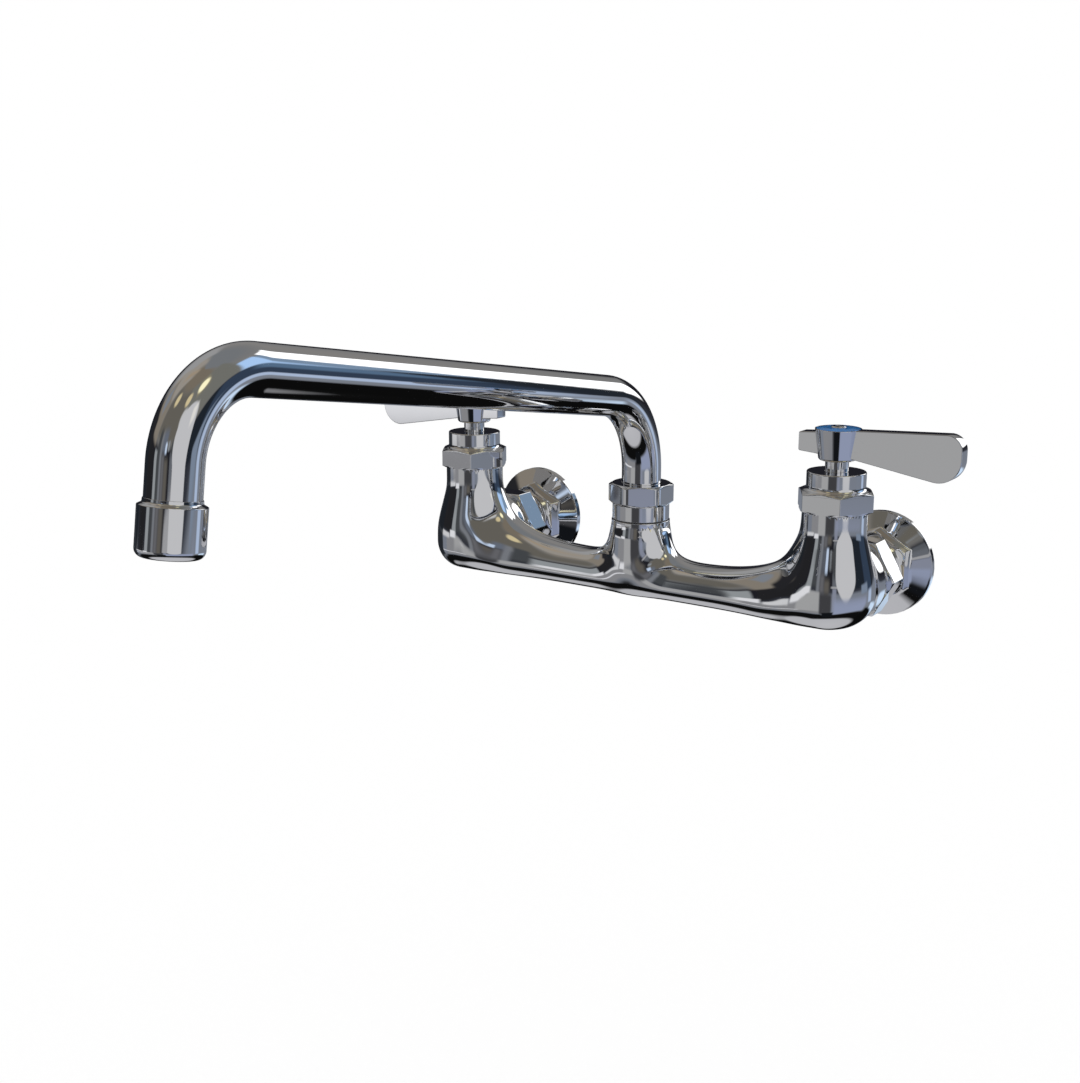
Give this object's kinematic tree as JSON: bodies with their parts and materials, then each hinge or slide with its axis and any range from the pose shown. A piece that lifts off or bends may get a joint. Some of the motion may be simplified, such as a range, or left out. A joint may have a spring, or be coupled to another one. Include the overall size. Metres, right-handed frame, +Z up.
{
  "type": "wall-mounted two-handle mixer tap",
  "caption": "Wall-mounted two-handle commercial sink tap: bridge body between two inlets, lever handles, and a swinging bent tube spout with an aerator.",
  "frame": {"origin": "on the wall plane, midway between the two inlets, at the height of the inlet axes", "axes": "+X to the right as seen from the front, +Y into the wall along the inlets, +Z up; the spout reaches out along -Y"},
  "size_m": [0.3192, 0.3758, 0.1554],
  "materials": {
    "chrome_plate": "bright polished chrome plate on brass, mirror smooth",
    "plated_stem": "turned brass, bright plated where it shows",
    "brass": "turned brass, unplated",
    "steel": "stainless steel, fine turned",
    "steel_mesh": "stainless wire screen",
    "rubber": "black moulded rubber, matt",
    "seal_fibre": "dark fibre seal, matt",
    "ceramic": "lapped alumina ceramic, off-white",
    "acetal": "moulded acetal, off-white",
    "cold_index": "blue moulded plastic, glossy",
    "hot_index": "red moulded plastic, glossy"
  },
  "bodies": {
    "base": {"valve_body": "chrome_plate", "inlet_coupling_nut_left": "chrome_plate", "inlet_coupling_nut_right": "chrome_plate", "inlet_washer_left": "rubber", "inlet_washer_right": "rubber", "inlet_tailpiece_left": "chrome_plate", "inlet_tailpiece_right": "chrome_plate", "wall_flange_left": "chrome_plate", "wall_flange_right": "chrome_plate", "bonnet_left": "chrome_plate", "bonnet_right": "chrome_plate", "bonnet_gasket_left": "seal_fibre", "bonnet_gasket_right": "seal_fibre", "cartridge_barrel_left": "brass", "cartridge_barrel_right": "brass", "fixed_disc_left": "ceramic", "fixed_disc_right": "ceramic", "seat_seal_left": "rubber", "seat_seal_right": "rubber", "spout_adapter": "chrome_plate", "adapter_gasket": "rubber", "spout_nut": "chrome_plate"},
    "spout": {"spout_tube": "chrome_plate", "spout_ferrule": "brass", "spout_o_rings": "rubber", "spout_thrust_washer": "acetal", "aerator_housing": "chrome_plate", "aerator_insert": "acetal", "aerator_screen": "steel_mesh", "aerator_gasket": "rubber"},
    "left_handle": {"lever_left": "chrome_plate", "index_ring_left": "hot_index", "handle_screw_left": "steel", "stem_left": "plated_stem", "stem_o_rings_left": "rubber", "moving_disc_left": "ceramic", "stem_thrust_washer_left": "acetal"},
    "right_handle": {"lever_right": "chrome_plate", "index_ring_right": "cold_index", "handle_screw_right": "steel", "stem_right": "plated_stem", "stem_o_rings_right": "rubber", "moving_disc_right": "ceramic", "stem_thrust_washer_right": "acetal"}
  },
  "joints": [
    {"name": "spout_swing", "type": "hinge", "parent": "base", "child": "spout", "pos_m": [0, -0.063, 0], "axis": [0, 0, 1], "range_deg": [-90, 90]},
    {"name": "left_handle_turn", "type": "hinge", "parent": "base", "child": "left_handle", "pos_m": [-0.1016, -0.063, 0], "axis": [0, 0, 1], "range_deg": [0, 90]},
    {"name": "right_handle_turn", "type": "hinge", "parent": "base", "child": "right_handle", "pos_m": [0.1016, -0.063, 0], "axis": [0, 0, 1], "range_deg": [-90, 0]}
  ]
}
